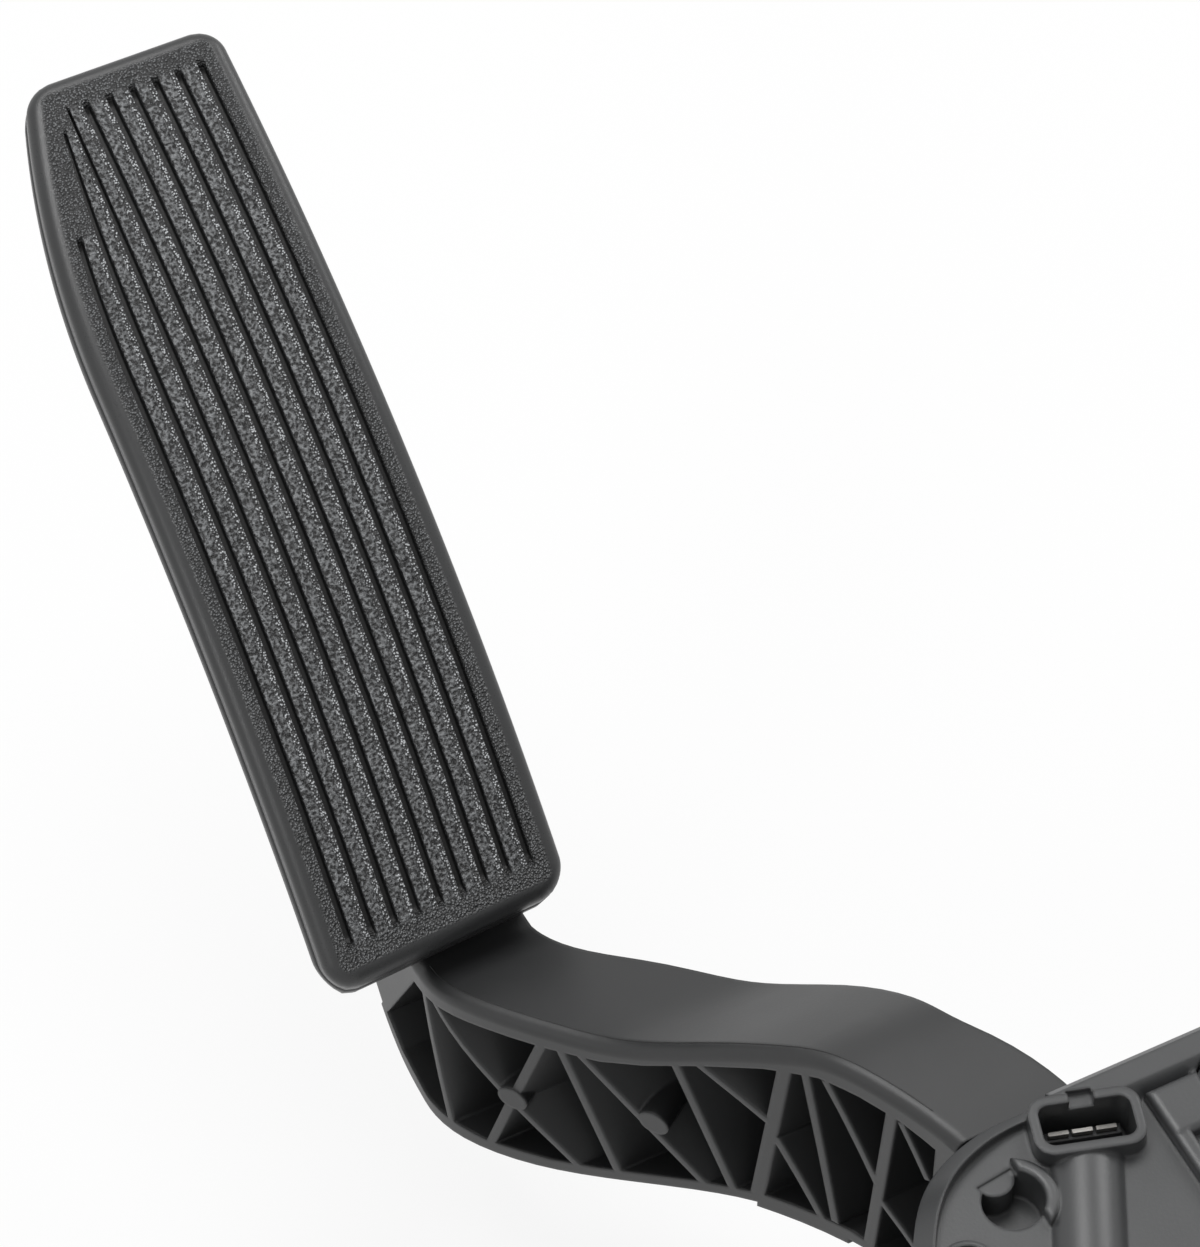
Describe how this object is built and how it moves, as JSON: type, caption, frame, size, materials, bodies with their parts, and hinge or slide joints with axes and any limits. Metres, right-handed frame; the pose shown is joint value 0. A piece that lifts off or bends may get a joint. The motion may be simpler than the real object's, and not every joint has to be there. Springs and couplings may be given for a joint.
{
  "type": "accelerator pedal sensor",
  "caption": "Hanging accelerator pedal module: a long ribbed-tread pad on a cranked, open-ribbed arm that swings on a sprung pivot in a sensor housing with a plug socket.",
  "frame": {"origin": "middle of the two side bolt holes on the bulkhead face, under the pivot axis", "axes": "+Z out of the bulkhead towards the driver, +Y from the housing to the pad, X along the pivot axis with the ribbed open side of the arm facing -X"},
  "size_m": [0.1361, 0.3185, 0.1615],
  "materials": {
    "arm_plastic": "satin moulded",
    "pad_rubber": "grained",
    "housing_plastic": "fine moulded grain",
    "steel": "zinc plated",
    "spring_steel": "drawn wire",
    "bearing_plastic": "smooth",
    "friction": "matt",
    "magnet": "sintered",
    "buffer_rubber": "matt",
    "board": "coated",
    "chip": "moulded",
    "terminal": "tin plated"
  },
  "bodies": {
    "housing_body": {"housing": "housing_plastic", "sensor_cover": "housing_plastic", "bush_near": "bearing_plastic", "bush_far": "bearing_plastic", "friction_disc_near": "friction", "friction_disc_far": "friction", "wave_washer": "steel", "spring_seat": "bearing_plastic", "outer_spring": "spring_steel", "inner_spring": "spring_steel", "idle_buffer": "buffer_rubber", "stop_buffer": "buffer_rubber", "circuit_board": "board", "hall_chip_near": "chip", "hall_chip_far": "chip", "terminals": "terminal", "cover_screws": "steel", "mount_sleeves": "steel"},
    "pedal_body": {"pedal_arm": "arm_plastic", "pad_cover": "pad_rubber", "pivot_shaft": "steel", "shaft_clip": "steel", "magnet_carrier": "bearing_plastic", "magnet_north": "magnet", "magnet_south": "magnet", "spring_cup": "bearing_plastic"}
  },
  "joints": [
    {"name": "pedal_pivot", "type": "hinge", "parent": "housing_body", "child": "pedal_body", "pos_m": [0, 0, 0.082], "axis": [-1, 0, 0], "range_deg": [0, 14], "stiffness_Nm_per_rad": 9, "springref_deg": -20.05, "deforming": ["outer_spring", "inner_spring"]}
  ]
}
